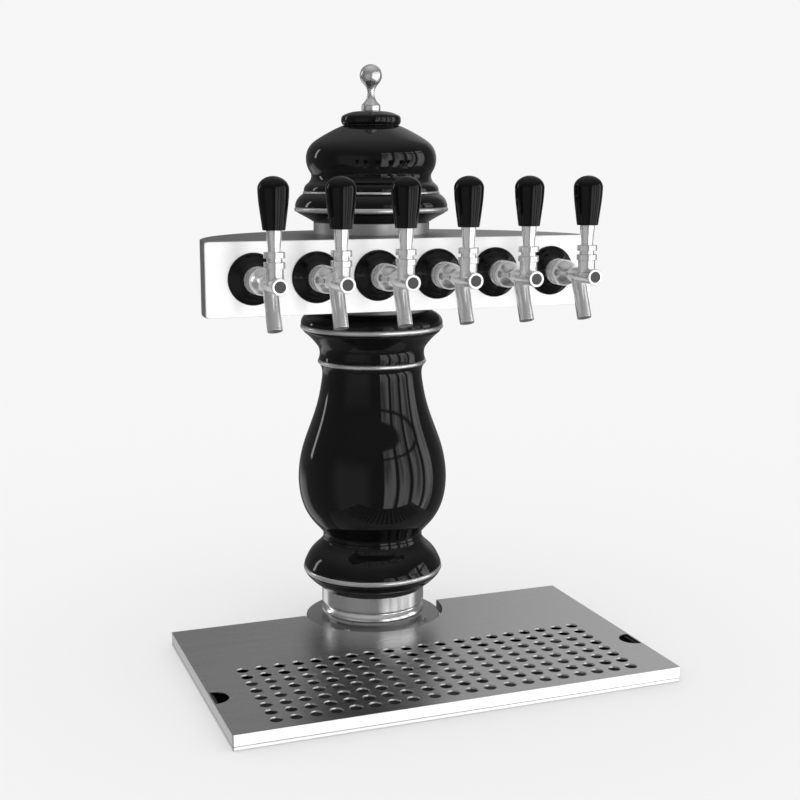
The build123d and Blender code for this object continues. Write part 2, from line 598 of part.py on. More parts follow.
PAN_FLOOR_Z = FOOT_PAD_H + PAN_FLOOR
with BuildPart() as drip_pan:
    with BuildSketch(Plane.XY.offset(FOOT_PAD_H)):
        tray_plan(0, CUTOUT_R)
    extrude(amount=PAN_FLOOR)
save(drip_pan.part, "drip_pan")

with BuildPart() as pan_walls:
    with BuildSketch(Plane.XY.offset(PAN_FLOOR_Z)):
        tray_frame(0, PAN_INSET + PAN_WALL)
    extrude(amount=RIM_H - PAN_FLOOR_Z)
    with BuildSketch(Plane.XY.offset(RIM_H)):
        tray_frame(PAN_INSET, PAN_INSET + PAN_WALL)
    extrude(amount=PAN_TOP - RIM_H)
save(pan_walls.part, "pan_walls")

column_x = [SIDE_FIRST_X + HOLE_PITCH_X * i for i in range(SIDE_COLUMNS)]
column_x += [-x for x in column_x]
column_x += [HOLE_PITCH_X * (i - (MIDDLE_COLUMNS - 1) / 2) for i in range(MIDDLE_COLUMNS)]
row_y = [FIRST_ROW_Y - HOLE_PITCH_Y * i for i in range(HOLE_ROWS)]
notch_x = TRAY_L / 2 - NOTCH_DEPTH + NOTCH_R
with BuildPart() as drip_grid:
    with BuildSketch(Plane.XY.offset(TRAY_TOP - GRID_T)):
        tray_plan(0, CUTOUT_R)
        with Locations(*[(x, y) for x in column_x for y in row_y]):
            Circle(HOLE_R, mode=Mode.SUBTRACT)
    extrude(amount=GRID_T)
    with BuildSketch(Plane.XY.offset(TRAY_TOP - GRID_T)):
        with Locations((notch_x, NOTCH_Y), (-notch_x, NOTCH_Y)):
            Circle(NOTCH_R)
        with Locations((0, NOTCH_Y)):
            Rectangle(TRAY_L - 2 * SKIRT_T, 2 * NOTCH_R + 1, mode=Mode.INTERSECT)
    extrude(amount=GRID_T, mode=Mode.SUBTRACT)
save(drip_grid.part, "drip_grid")

with BuildPart() as grid_frame:
    with BuildSketch(Plane.XY.offset(RIM_H + SEAM)):
        tray_frame(0, SKIRT_T)
    extrude(amount=TRAY_TOP - GRID_T - RIM_H - SEAM)
    for web in (1, 3, 5):
        with BuildSketch(Plane.XY.offset(TRAY_TOP - GRID_T - RIB_H)):
            with Locations((0, (row_y[web] + row_y[web + 1]) / 2)):
                Rectangle(RIB_L, RIB_T)
        extrude(amount=RIB_H)
save(grid_frame.part, "grid_frame")

with BuildPart() as pan_feet:
    with BuildSketch():
        with Locations((0, TRAY_Y)):
            with GridLocations(TRAY_L - 60, TRAY_W - 60, 2, 2):
                Circle(9)
        with Locations((0, TRAY_BACK - TRAY_W + 30)):
            Circle(9)
    extrude(amount=FOOT_PAD_H)
save(pan_feet.part, "pan_feet")
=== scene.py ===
"""Looks of the six-tap beer tower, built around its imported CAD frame.

The tower's axis is the world's Z axis, the counter is at z = 0 and the taps face -Y. Outlines are
written in millimetres, as (radius, height) or (x, y), and turned into metres where a mesh is made.
"""

import math

import bmesh
import bpy
import numpy as np
from mathutils import Matrix, Vector


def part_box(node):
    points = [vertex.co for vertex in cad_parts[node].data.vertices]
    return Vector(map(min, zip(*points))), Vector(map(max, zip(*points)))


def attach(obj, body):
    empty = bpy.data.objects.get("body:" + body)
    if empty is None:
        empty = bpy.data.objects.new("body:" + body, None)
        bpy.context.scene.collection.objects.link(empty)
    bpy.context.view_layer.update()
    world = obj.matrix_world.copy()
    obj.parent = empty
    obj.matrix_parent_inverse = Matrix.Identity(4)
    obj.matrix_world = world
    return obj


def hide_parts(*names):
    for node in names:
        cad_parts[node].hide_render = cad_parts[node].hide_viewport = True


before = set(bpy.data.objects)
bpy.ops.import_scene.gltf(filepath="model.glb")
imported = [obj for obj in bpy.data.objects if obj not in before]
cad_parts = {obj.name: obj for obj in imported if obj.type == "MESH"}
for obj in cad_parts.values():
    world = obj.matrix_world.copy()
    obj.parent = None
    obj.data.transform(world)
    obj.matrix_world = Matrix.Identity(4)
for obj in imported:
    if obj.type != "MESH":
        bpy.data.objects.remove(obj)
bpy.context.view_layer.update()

MM = 0.001
TAPS = range(1, 7)

# ---- places read from the frame ------------------------------------------------------------


def low(node):
    """Lowest height of a CAD node, in millimetres."""
    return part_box(node)[0].z / MM


def high(node):
    """Greatest height of a CAD node, in millimetres."""
    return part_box(node)[1].z / MM


def middle(node):
    """Centre of a CAD node's box, in metres."""
    near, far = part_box(node)
    return (near + far) / 2


FRONT_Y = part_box("box_front")[0].y
TAP_Z = middle("cap_discs").z
STEM_Y = middle("lever_1").y
TAP_X = [middle(f"lever_{i}").x for i in TAPS]
STEM_D = (FRONT_Y - STEM_Y) / MM      # how far the levers stand in front of the box
TAP_HEIGHT = TAP_Z / MM

# ---- node materials ------------------------------------------------------------------------

NOISE_LOW, NOISE_HIGH = 0.3, 0.7      # most values of a noise texture lie between these
LATHE_RINGS = 1400                    # scale of the rings that a lathe leaves
BRUSH_ACROSS, BRUSH_ALONG = 900.0, 6.0
DUST = 14                             # how much finer a glaze's dust is than its waviness


class Shader:
    """A node material under construction: a Principled shader and short ways to feed it."""

    def __init__(self, name, **values):
        self.material = bpy.data.materials.new(name)
        self.material.use_nodes = True
        self.tree = self.material.node_tree
        self.shader = self.tree.nodes["Principled BSDF"]
        for key, value in values.items():
            socket = key.replace("_", " ").title().replace("Ior", "IOR")
            self.shader.inputs[socket].default_value = value

    def node(self, kind, **settings):
        made = self.tree.nodes.new(kind)
        for key, value in settings.items():
            setattr(made, key, value)
        return made

    def link(self, source, target):
        self.tree.links.new(source, target)

    def place(self, scale=(1, 1, 1)):
        """Object coordinates stretched by scale."""
        coordinates = self.node("ShaderNodeTexCoord")
        stretch = self.node("ShaderNodeVectorMath", operation="MULTIPLY")
        stretch.inputs[1].default_value = scale
        self.link(coordinates.outputs["Object"], stretch.inputs[0])
        return stretch.outputs[0]

    def turned_place(self):
        """(distance from the turning axis, 0, height), so that a texture follows lathe marks."""
        radius = self.node("ShaderNodeVectorMath", operation="LENGTH")
        self.link(self.place((1, 1, 0)), radius.inputs[0])
        parts = self.node("ShaderNodeSeparateXYZ")
        self.link(self.place(), parts.inputs[0])
        joined = self.node("ShaderNodeCombineXYZ")
        self.link(radius.outputs["Value"], joined.inputs["X"])
        self.link(parts.outputs["Z"], joined.inputs["Z"])
        return joined.outputs[0]

    def noise(self, vector, scale, detail=3.0, rough=0.5):
        texture = self.node("ShaderNodeTexNoise")
        texture.inputs["Scale"].default_value = scale
        texture.inputs["Detail"].default_value = detail
        texture.inputs["Roughness"].default_value = rough
        self.link(vector, texture.inputs["Vector"])
        return texture.outputs["Fac"]

    def spread(self, value, lowest, highest, socket):
        """Send a noise value, stretched to lowest..highest, to a socket of the shader."""
        mapped = self.node("ShaderNodeMapRange")
        mapped.inputs["From Min"].default_value = NOISE_LOW
        mapped.inputs["From Max"].default_value = NOISE_HIGH
        mapped.inputs["To Min"].default_value = lowest
        mapped.inputs["To Max"].default_value = highest
        self.link(value, mapped.inputs["Value"])
        self.link(mapped.outputs["Result"], self.shader.inputs[socket])

    def tint(self, value, dark, light):
        """Colour between two colours by a noise value."""
        mix = self.node("ShaderNodeMix", data_type="RGBA")
        mix.inputs["A"].default_value = (*dark, 1)
        mix.inputs["B"].default_value = (*light, 1)
        self.link(value, mix.inputs["Factor"])
        self.link(mix.outputs["Result"], self.shader.inputs["Base Color"])

    def bump(self, value, depth, strength=1.0):
        """Relief of the given depth in metres."""
        relief = self.node("ShaderNodeBump")
        relief.inputs["Strength"].default_value = strength
        relief.inputs["Distance"].default_value = depth
        self.link(value, relief.inputs["Height"])
        self.link(relief.outputs["Normal"], self.shader.inputs["Normal"])


def grey(level):
    return (level, level, level)


def turned_metal(name, level, rough, marks=3e-6, polish=1.0):
    """Metal off a lathe: faint rings in its tone, gloss and relief, marks metres deep.

    Less polish scatters more light.
    """
    made = Shader(name, metallic=polish)
    rings = made.noise(made.turned_place(), LATHE_RINGS, 2)
    made.tint(rings, grey(level * 0.95), grey(min(level * 1.04, 1.0)))
    made.spread(rings, rough * 0.85, rough * 1.2, "Roughness")
    made.bump(rings, marks)
    return made.material


def brushed_metal(name, level, rough, along=0, marks=4e-6, polish=1.0):
    """Sheet metal brushed along one axis, given as the index of that axis."""
    made = Shader(name, metallic=polish)
    stretch = [BRUSH_ACROSS] * 3
    stretch[along] = BRUSH_ALONG
    lines = made.noise(made.place(stretch), 1.0, 3, 0.6)
    made.tint(lines, grey(level * 0.95), grey(min(level * 1.03, 1.0)))
    made.spread(lines, rough * 0.85, rough * 1.25, "Roughness")
    made.bump(lines, marks)
    return made.material


def glaze(name, level, rough, wave, scale, shine):
    """Black glaze or lacquer: a near-black body under a clear gloss, slightly wavy and dusty."""
    made = Shader(name, specular_ior_level=shine)
    cloud = made.noise(made.place(), scale, 3)
    made.tint(cloud, grey(level * 0.7), grey(level * 1.3))
    dust = made.noise(made.place(), scale * DUST, 2)
    made.spread(dust, rough * 0.6, rough * 1.5, "Roughness")
    made.bump(cloud, wave)
    return made.material


def soft_plastic(name, dark, light, rough, scale=220.0):
    """Moulded plastic or rubber with a fine matt grain."""
    made = Shader(name)
    grain = made.noise(made.place(), scale, 4)
    made.tint(grain, dark, light)
    made.spread(grain, rough * 0.85, rough * 1.15, "Roughness")
    made.bump(grain, 2e-5, 0.4)
    return made.material


# Black parts
CERAMIC = glaze("black_glaze", 0.0035, 0.05, 5e-5, 38, 0.32)
LACQUER = glaze("black_lacquer", 0.004, 0.09, 2e-5, 90, 0.3)
KNOB_BLACK = glaze("knob_black", 0.003, 0.05, 1e-5, 60, 0.2)
# Turned metal
TAP_STEEL = turned_metal("tap_steel", 0.84, 0.22, 2e-7, 0.88)
CAP_STEEL = turned_metal("cap_steel", 0.95, 0.28)
BAND_STEEL = turned_metal("band_steel", 0.78, 0.3, 1e-6, 0.9)
COLLAR_STEEL = turned_metal("collar_steel", 1.0, 0.2, 2e-7)
BOX_RING_STEEL = turned_metal("box_ring_steel", 0.64, 0.4)
# Darker copy of the box ring steel: painted shade on the lower collar, under the box
PAINTED_SHADE_RING_STEEL = turned_metal("painted_shade_ring_steel", 0.2, 0.42)
FINIAL_STEEL = turned_metal("finial_steel", 0.85, 0.3, 1e-6)
FLANGE_STEEL = turned_metal("flange_steel", 0.5, 0.36, 5e-6)
PLATE_IRON = turned_metal("plate_iron", 0.3, 0.5, 2e-5)
HARDWARE = turned_metal("hardware_steel", 0.5, 0.3)
# Sheet metal
FRONT_SHEET = brushed_metal("front_sheet", 1.0, 0.34, marks=6e-7, polish=0.55)
BOX_SHEET = brushed_metal("box_sheet", 0.46, 0.34, marks=1.5e-6)
GRID_STEEL = brushed_metal("grid_steel", 0.78, 0.3, marks=1.5e-6)
PAN_STEEL = brushed_metal("pan_steel", 0.78, 0.32, marks=1.5e-6)
# Darker copy of the pan steel: painted shade inside the pan and on the lid's bay wall
PAINTED_SHADE_STEEL = brushed_metal("painted_shade_steel", 0.24, 0.45, marks=2e-6)
# Rubber and plastic
RUBBER = soft_plastic("rubber", grey(0.012), grey(0.03), 0.6)
CAP_INSERT = soft_plastic("cap_insert", grey(0.035), grey(0.06), 0.45, 900.0)
CLEAR_LINE = soft_plastic("beer_line", (0.5, 0.5, 0.48), (0.62, 0.62, 0.6), 0.3)
BLUE_LINE = soft_plastic("cooling_line", (0.05, 0.12, 0.3), (0.07, 0.17, 0.4), 0.35)

# CAD nodes that are shown as they are
CAD_FINISH = {
    "mount_plate": PLATE_IRON, "joint_gaskets": RUBBER, "pan_feet": RUBBER,
    "lever_pins": TAP_STEEL, "beer_lines": CLEAR_LINE, "cooling_lines": BLUE_LINE,
}
for node in ("flange_screws", "tie_rod", "tie_nut", "box_screws", "shanks", "shank_nuts",
             "line_clamps", *(f"plunger_{i}" for i in TAPS)):
    CAD_FINISH[node] = HARDWARE
for node, finish in CAD_FINISH.items():
    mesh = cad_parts[node].data
    mesh.materials.clear()
    mesh.materials.append(finish)

# ---- mesh tools ----------------------------------------------------------------------------

SHARP_ANGLE = math.radians(32)     # edges sharper than this stay crisp
SAME_POINT = 1e-7                  # metres
CORNER_SHARE = 0.49                # a rounded corner takes at most this much of each side


def curve(*points, steps=7):
    """Points of a smooth curve through the given (radius, height) points.

    It is a natural cubic spline over the distance between them, so its curvature has no jumps.
    """
    p = np.array(points, float)
    run = np.hypot(*np.diff(p, axis=0).T)
    count = len(p)
    system, slope_jumps = np.eye(count), np.zeros((count, 2))
    for i in range(1, count - 1):
        system[i, i - 1:i + 2] = run[i - 1], 2 * (run[i - 1] + run[i]), run[i]
        slope_jumps[i] = 6 * ((p[i + 1] - p[i]) / run[i] - (p[i] - p[i - 1]) / run[i - 1])
    bend = np.linalg.solve(system, slope_jumps)
    made = []
    for i, length in enumerate(run):
        slope = (p[i + 1] - p[i]) / length - length * (2 * bend[i] + bend[i + 1]) / 6
        change = (bend[i + 1] - bend[i]) / (6 * length)
        for x in length * np.arange(steps) / steps:
            made.append(p[i] + x * slope + x * x * bend[i] / 2 + x ** 3 * change)
    return [tuple(q) for q in made] + [tuple(p[-1])]


def arc(radius, height, first, last, step=6):
    """Points on a circle about (0, height), from one angle to another in whole degrees."""
    angles = (math.radians(d) for d in range(first, last + 1, step))
    return [(radius * math.cos(a), height + radius * math.sin(a)) for a in angles]


def corner(before, at, after, radius, steps=4):
    """A rounded corner: the bend that joins the run from before to at with the one to after."""
    a, m, b = Vector(before), Vector(at), Vector(after)
    into, out = (a - m).normalized(), (b - m).normalized()
    half = into.angle(out) / 2
    cut = min(radius / math.tan(half), (a - m).length * CORNER_SHARE, (b - m).length * CORNER_SHARE)
    start, end = m + into * cut, m + out * cut
    return [tuple(start.lerp(m, t).lerp(m.lerp(end, t), t))
            for t in (i / steps for i in range(steps + 1))]


def rounded(points, radius=0.5, closed=True, steps=4):
    """A polyline whose corners are rounded. An open one keeps its two ends."""
    count, made = len(points), []
    for i, point in enumerate(points):
        if not closed and i in (0, count - 1):
            made.append(tuple(point))
        else:
            made += corner(points[i - 1], point, points[(i + 1) % count], radius, steps)
    return made


def smooth(mesh):
    """Smooth faces with crisp corners."""
    mesh.shade_smooth()
    mesh.set_sharp_from_angle(angle=SHARP_ANGLE)


def finish_mesh(bm, name, finish):
    """Turn a bmesh into mesh data with its shading and its material."""
    bmesh.ops.remove_doubles(bm, verts=bm.verts, dist=SAME_POINT)
    bmesh.ops.recalc_face_normals(bm, faces=bm.faces)
    mesh = bpy.data.meshes.new(name)
    bm.to_mesh(mesh)
    bm.free()
    smooth(mesh)
    mesh.materials.append(finish)
    return mesh


def turned_mesh(name, finish, outline, segments=96):
    """Mesh of an outline of (radius, height) points turned about Z.

    The outline is a closed loop, or it starts and ends on the axis.
    """
    bm = bmesh.new()
    turns = [math.tau * k / segments for k in range(segments)]
    rings = []
    for radius, height in outline:
        if radius < 1e-6:
            rings.append([bm.verts.new((0, 0, height * MM))])
        else:
            rings.append([bm.verts.new((radius * MM * math.cos(a), radius * MM * math.sin(a),
                                        height * MM)) for a in turns])
    closed = len(rings[0]) > 1 or len(rings[-1]) > 1
    for one, two in zip(rings, rings[1:] + (rings[:1] if closed else [])):
        for k in range(segments):
            following = (k + 1) % segments
            quad = [one[k % len(one)], one[following % len(one)],
                    two[following % len(two)], two[k % len(two)]]
            corners = list(dict.fromkeys(quad))
            if len(corners) > 2:
                bm.faces.new(corners)
    return finish_mesh(bm, name, finish)


def merge(kind, mesh_a, mesh_b):
    """Union or difference of two meshes, as new mesh data."""
    a, b = (bpy.data.objects.new("merge", m) for m in (mesh_a, mesh_b))
    for obj in (a, b):
        bpy.context.scene.collection.objects.link(obj)
    cut = a.modifiers.new("cut", "BOOLEAN")
    cut.operation, cut.solver, cut.object = kind, "EXACT", b
    bpy.context.view_layer.update()
    depsgraph = bpy.context.evaluated_depsgraph_get()
    made = bpy.data.meshes.new_from_object(a.evaluated_get(depsgraph))
    for obj in (a, b):
        bpy.data.objects.remove(obj)
    return made


def show(mesh, name, body, nodes, where=None):
    """Place a mesh as a piece: the body it rides and the CAD nodes it stands for."""
    piece = bpy.data.objects.new(name, mesh)
    bpy.context.scene.collection.objects.link(piece)
    if where is not None:
        piece.matrix_world = where
    flatten = piece.modifiers.new("flat faces stay flat", "WEIGHTED_NORMAL")
    flatten.keep_sharp = True
    flatten.weight = 80
    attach(piece, body)
    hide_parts(*nodes)
    return piece


def turned(name, finish, outline, nodes, segments=160):
    """A turned piece of the tower."""
    show(turned_mesh(name, finish, outline, segments), name, "tower", nodes)


# ---- column and dome -----------------------------------------------------------------------

CERAMIC_WALL = 7.0
GLAZE_EDGE = 0.6                   # radius of a ceramic piece's edges
# Lowest and highest point of each metal ring between the ceramic pieces
FOOT_BAND, BULB_BAND, FLARE_BAND = (84.0, 92.6), (389.6, 396.4), (439.6, 447.6)
DISH_BAND, SKIRT_BAND = (604.8, 612.4), (629.6, 633.4)
LOWER_COLLAR, UPPER_COLLAR = (466.3, 479.0), (574.5, 590.5)
BOX_COLLAR_R, BOX_COLLAR_BORE = 81.7, 70.0
BUN_TOP = 743.2


def glazed(node, outside):
    """A thick ceramic shell with glazed edges. outside is its outer outline from the bottom up."""
    inside = [(radius - CERAMIC_WALL, height) for radius, height in reversed(outside)]
    outline = (corner(inside[-1], outside[0], outside[1], GLAZE_EDGE) + outside[1:-1]
               + corner(outside[-2], outside[-1], inside[0], GLAZE_EDGE) + inside)
    turned(f"{node}_glazed", CERAMIC, outline, [node])


def band(name, node, heights, rim, bore):
    """A flat metal ring with a half-round edge standing proud of the glaze."""
    bottom, top = heights
    half = (top - bottom) / 2
    edge = [(rim - half + x, y) for x, y in arc(half, bottom + half, -90, 90, 12)]
    turned(name, BAND_STEEL, edge + [(bore, top), (bore, bottom)], [node])


glazed("foot_cup", curve((76.2, 60.4), (83.4, 66.8), (88.6, 70.9), (94.0, 76.2), (98.9, 82.2),
                         (99.9, FOOT_BAND[0])))
glazed("foot_cap", curve((100.6, FOOT_BAND[1]), (100.2, 94.6), (98.3, 99.4), (92.5, 110.2),
                         (85.4, 118.2), (78.7, 124.4), (74.2, 129.6))
       + curve((73.1, 130.8), (72.5, 133.0), (72.3, 136.0), steps=4))
glazed("column_bulb", [(72.3, 136.8), (72.3, 139.4), (72.4, 142.0)]
       + curve((73.0, 143.2), (77.6, 148.8), (87.6, 160.0), (95.2, 171.0), (102.4, 187.5),
               (106.6, 208.0), (107.4, 226.0), (105.8, 245.0), (101.0, 268.0), (93.0, 291.6),
               (84.3, 315.5), (77.3, 339.5), (73.2, 361.0), (71.6, 375.0), (72.8, 384.5),
               (75.4, BULB_BAND[0])))
glazed("neck_flare", curve((76.6, BULB_BAND[1]), (75.4, 400.6), (75.0, 406.5), (76.4, 413.0),
                           (80.0, 418.6), (86.4, 426.2), (94.2, 433.6), (98.4, 438.2),
                           (98.7, FLARE_BAND[0])))
glazed("shoulder_cap", curve((101.6, FLARE_BAND[1]), (100.8, 452.6), (95.6, 459.8),
                             (85.0, 465.5)))
glazed("dome_dish", curve((82.0, 591.3), (88.8, 595.4), (98.8, 600.9), (103.2, 603.4),
                          (105.0, DISH_BAND[0])))
glazed("dome_skirt", curve((107.5, DISH_BAND[1]), (106.7, 616.5), (103.9, 622.8), (98.9, 628.0),
                           (96.8, SKIRT_BAND[0])))
glazed("dome", curve((94.9, SKIRT_BAND[1]), (94.7, 636.6), (92.4, 641.6), (88.0, 645.6),
                     (84.9, 650.6), (84.2, 656.0), (87.2, 662.2), (90.0, 668.8), (91.3, 678.0),
                     (89.2, 689.5), (84.0, 697.8), (73.8, 705.9), (60.2, 713.8), (48.9, 719.6),
                     (40.0, 723.5)))
turned("bun_glazed", CERAMIC,
       [(0, 716.0), (26.0, 716.0), (32.0, 724.3), (38.4, 724.3)]
       + curve((39.6, 724.8), (41.4, 728.0), (41.7, 731.8), (40.6, 736.0), (36.5, 738.7),
               (29.0, 741.5), (13.0, BUN_TOP), (0, BUN_TOP)),
       ["bun_cap"], segments=128)

band("foot_band_ring", "foot_band", FOOT_BAND, 101.6, 92.0)
band("bulb_band_ring", "neck_bands", BULB_BAND, 77.9, 66.5)
band("flare_band_ring", "neck_bands", FLARE_BAND, 102.2, 90.0)
band("dish_band_ring", "dome_bands", DISH_BAND, 108.4, 96.0)
band("skirt_band_ring", "dome_bands", SKIRT_BAND, 96.3, 86.5)

# The lower collar gets the darker copy of the ring steel, as painted shade from the box above it.
for node, (bottom, top), metal in (("lower_box_collar", LOWER_COLLAR, PAINTED_SHADE_RING_STEEL),
                                   ("upper_box_collar", UPPER_COLLAR, BOX_RING_STEEL)):
    section = rounded([(BOX_COLLAR_BORE, bottom), (BOX_COLLAR_R, bottom), (BOX_COLLAR_R, top),
                       (BOX_COLLAR_BORE, top)], 0.6)
    turned(f"{node}_ring", metal, section, [node])

# Foot: the disc on the counter and the collar that stands on it
FOOT_BORE, FLANGE_R, FLANGE_LOW, FLANGE_TOP = 68.0, 98.5, 10.0, high("base_flange")
turned("flange_disc", FLANGE_STEEL,
       rounded([(FOOT_BORE, FLANGE_LOW), (FLANGE_R, FLANGE_LOW), (FLANGE_R, FLANGE_TOP),
                (FOOT_BORE, FLANGE_TOP)], 1.1),
       ["base_flange"], segments=192)
turned("foot_collar", COLLAR_STEEL,
       [(FOOT_BORE, FLANGE_TOP), (69.5, FLANGE_TOP)]
       + curve((69.7, 14.3), (71.6, 16.4), (74.2, 19.4), (75.5, 22.8), (75.6, 26.2),
               (74.3, 29.8), (72.2, 32.6))
       + curve((71.5, 33.6), (71.2, 35.2), (71.9, 36.7), (73.6, 37.8), steps=4)
       + [(74.7, 38.6), (74.7, 59.4), (74.1, 60.0), (FOOT_BORE, 60.0)],
       ["base_collar"], segments=192)

# Finial: a short cylinder, a slender neck and a ball
BALL_R = 15.4
FINIAL_TOP = high("finial")
ball = arc(BALL_R, FINIAL_TOP - BALL_R, -48, 90)
ball[-1] = (0, FINIAL_TOP)
turned("ball_finial", FINIAL_STEEL,
       [(0, BUN_TOP), (12.4, BUN_TOP), (13.1, 743.8)]
       + curve((13.2, 749.6), (12.8, 751.4), (11.4, 753.3), (9.2, 755.7), (7.2, 758.6),
               (5.8, 761.8), (5.0, 765.2), (4.8, 768.6), (5.3, 771.8), (6.6, 774.8),
               (8.5, 777.8), ball[0])[:-1]
       + ball,
       ["finial"], segments=96)

# ---- taps ----------------------------------------------------------------------------------

# Distances in front of the box's face
COUPLING_START, BODY_START, CAP_START, BARREL_END, CAP_END = 14.0, 38.0, 117.0, 120.0, 126.2
SPOUT_D, BUTTON_D = 78.0, 125.4
# Radii, and the spout's length and lean in degrees
SHANK_R, BARREL_R, BARREL_BORE = 8.0, 10.3, 8.0
SPOUT_R, SPOUT_BORE, SPOUT_LEN, SPOUT_LEAN = 9.35, 7.8, 59.4, 21.4
NECK_R, NECK_BORE, RING_R, BALL_SEAT_R, SLEEVE_R = 11.0, 8.6, 13.0, 10.1, 9.4
STUD_R, KNOB_R = 4.0, 18.8
# Heights above the counter
PIVOT_Z, LOWER_RING, UPPER_RING, FINGER_TIP_Z = 551.5, (547.5, 554.8), (559.8, 566.8), 531.0
KNOB_Z, STUD_TOP, KNOB_WIDE_Z, KNOB_TOP = 592.5, 618.0, 640.7, 656.0

# Pieces on a tap's own axis are turned with their height as the distance in front of the box.
FORWARD = Matrix.Rotation(math.radians(90), 4, "X")        # turns height into distance along -Y


def tap_frame(x):
    return Matrix.Translation((x, FRONT_Y, TAP_Z)) @ FORWARD


def stem_frame(x):
    return Matrix.Translation((x, STEM_Y, 0))


def six(mesh, stem, frame_of, body, node):
    """The same mesh at every tap. body and node may hold the tap's number as {}."""
    for number, x in zip(TAPS, TAP_X):
        show(mesh, f"{stem}_{number}", body.format(number), [node.format(number)],
             frame_of(x))


def rosette_mesh():
    """Black dished rosette against the box."""
    return turned_mesh("rosette", LACQUER,
                       [(SHANK_R, 0.0), (33.1, 0.0), (33.5, 0.4), (33.5, 1.2)]
                       + curve((33.3, 1.7), (32.4, 2.8), (29.6, 4.2), (25.4, 6.8), (21.2, 9.4),
                               (18.6, 12.0), (17.4, 13.6))
                       + [(16.8, COUPLING_START), (SHANK_R, COUPLING_START)], segments=128)


def coupling_mesh():
    """Nut with two raised rings between the rosette and the body."""
    grip = [(15.6, COUPLING_START), (15.6, 19.0), (17.6, 19.2), (17.6, 24.0), (15.8, 24.4),
            (15.8, 28.8), (17.6, 29.2), (17.6, 33.8), (16.0, 34.2), (16.0, BODY_START)]
    return turned_mesh("coupling", TAP_STEEL,
                       [(SHANK_R, COUPLING_START), (15.6, COUPLING_START)]
                       + rounded(grip, 0.5, closed=False)[1:] + [(SHANK_R, BODY_START)])


def moved(mesh, matrix):
    made = mesh.copy()
    made.transform(matrix)
    return made


def faucet_mesh():
    """Tap body: barrel, neck and spout, turned apart, merged in the tap's own frame and bored."""
    to_stem = (Matrix.Translation((0, 0, STEM_D * MM)) @ FORWARD.inverted()
               @ Matrix.Translation((0, 0, -TAP_Z)))
    to_spout = (Matrix.Translation((0, 0, SPOUT_D * MM)) @ FORWARD.inverted()
                @ Matrix.Rotation(math.radians(180), 4, "X")
                @ Matrix.Rotation(math.radians(-SPOUT_LEAN), 4, "X"))
    barrel = [(0, BODY_START), (16.0, BODY_START), (16.4, 38.3)]
    barrel += curve((17.2, 39.4), (17.2, 42.0), (17.0, 45.6), (16.2, 50.0), (14.8, 55.0),
                    (12.9, 60.0), (11.3, 64.4), (10.4, 68.6), (BARREL_R, 73.0))
    barrel += [(BARREL_R, 90.0), (BARREL_R, BARREL_END), (0, BARREL_END)]
    ring_low, ring_high = LOWER_RING
    neck = [(0, TAP_HEIGHT), (NECK_R, TAP_HEIGHT)]
    neck += rounded([(NECK_R, TAP_HEIGHT), (NECK_R, ring_low), (RING_R, ring_low),
                     (RING_R, ring_high), (0, ring_high)], 0.6, closed=False)[1:]
    spout = [(0, 0), (SPOUT_R, 0)]
    spout += rounded([(SPOUT_R, 0), (SPOUT_R, SPOUT_LEN), (0, SPOUT_LEN)], 0.5, closed=False)[1:]
    barrel_bore = [(0, 67), (BARREL_BORE, 67), (BARREL_BORE, BARREL_END + 2), (0, BARREL_END + 2)]
    spout_bore = [(0, 6), (SPOUT_BORE, 6), (SPOUT_BORE, SPOUT_LEN + 2), (0, SPOUT_LEN + 2)]
    socket = [(0, TAP_HEIGHT), (NECK_BORE, TAP_HEIGHT), (NECK_BORE, PIVOT_Z - 6.0)]
    socket += curve((8.7, PIVOT_Z - 5.9), (10.1, PIVOT_Z - 3.0), (10.5, PIVOT_Z))
    socket += [(11.9, 554.9), (11.9, 557), (0, 557)]

    body = turned_mesh("barrel", TAP_STEEL, barrel)
    for kind, name, outline, place in (
            ("UNION", "neck", neck, to_stem), ("UNION", "spout", spout, to_spout),
            ("DIFFERENCE", "barrel_bore", barrel_bore, Matrix()),
            ("DIFFERENCE", "spout_bore", spout_bore, to_spout),
            ("DIFFERENCE", "socket", socket, to_stem)):
        body = merge(kind, body, moved(turned_mesh(name, TAP_STEEL, outline), place))
    body.name = "faucet"
    smooth(body)
    return body


def cap_mesh():
    """Bright ring that closes the barrel."""
    return turned_mesh("front_cap", CAP_STEEL,
                       [(0, CAP_START), (7.9, CAP_START), (7.9, BARREL_END), (9.8, BARREL_END),
                        (BARREL_R, 120.5)]
                       + corner((BARREL_R, 121.0), (BARREL_R, CAP_END), (8.0, CAP_END), 1.2)
                       + corner((9.0, CAP_END), (7.2, CAP_END), (7.0, BUTTON_D), 0.2)
                       + [(7.0, BUTTON_D), (0, BUTTON_D)])


def button_mesh():
    """Dark insert of the cap."""
    return turned_mesh("cap_button", CAP_INSERT,
                       [(0, BUTTON_D), (6.95, BUTTON_D), (6.95, 125.65), (6.7, 125.8), (0, 125.9)],
                       segments=64)


def lever_mesh():
    """Lever: finger, ball, ring, tapered sleeve and the stud inside the knob."""
    ring_low, ring_high = UPPER_RING
    return turned_mesh("tap_lever", TAP_STEEL,
                       [(0, FINGER_TIP_Z), (1.1, FINGER_TIP_Z + 0.4), (1.5, FINGER_TIP_Z + 1.5),
                        (3.0, 544.0)]
                       + arc(BALL_SEAT_R, PIVOT_Z, -21, 21)
                       + [(SLEEVE_R, 555.4), (SLEEVE_R, ring_low)]
                       + rounded([(SLEEVE_R, ring_low), (RING_R, ring_low), (RING_R, ring_high),
                                  (7.7, ring_high), (7.7, 567.6)], 0.6, closed=False)[1:-1]
                       + curve((7.7, 567.6), (7.8, 571.0), (8.3, 577.0), (9.1, 585.0),
                               (9.35, KNOB_Z))
                       + [(STUD_R, KNOB_Z), (STUD_R, STUD_TOP), (0, STUD_TOP)])


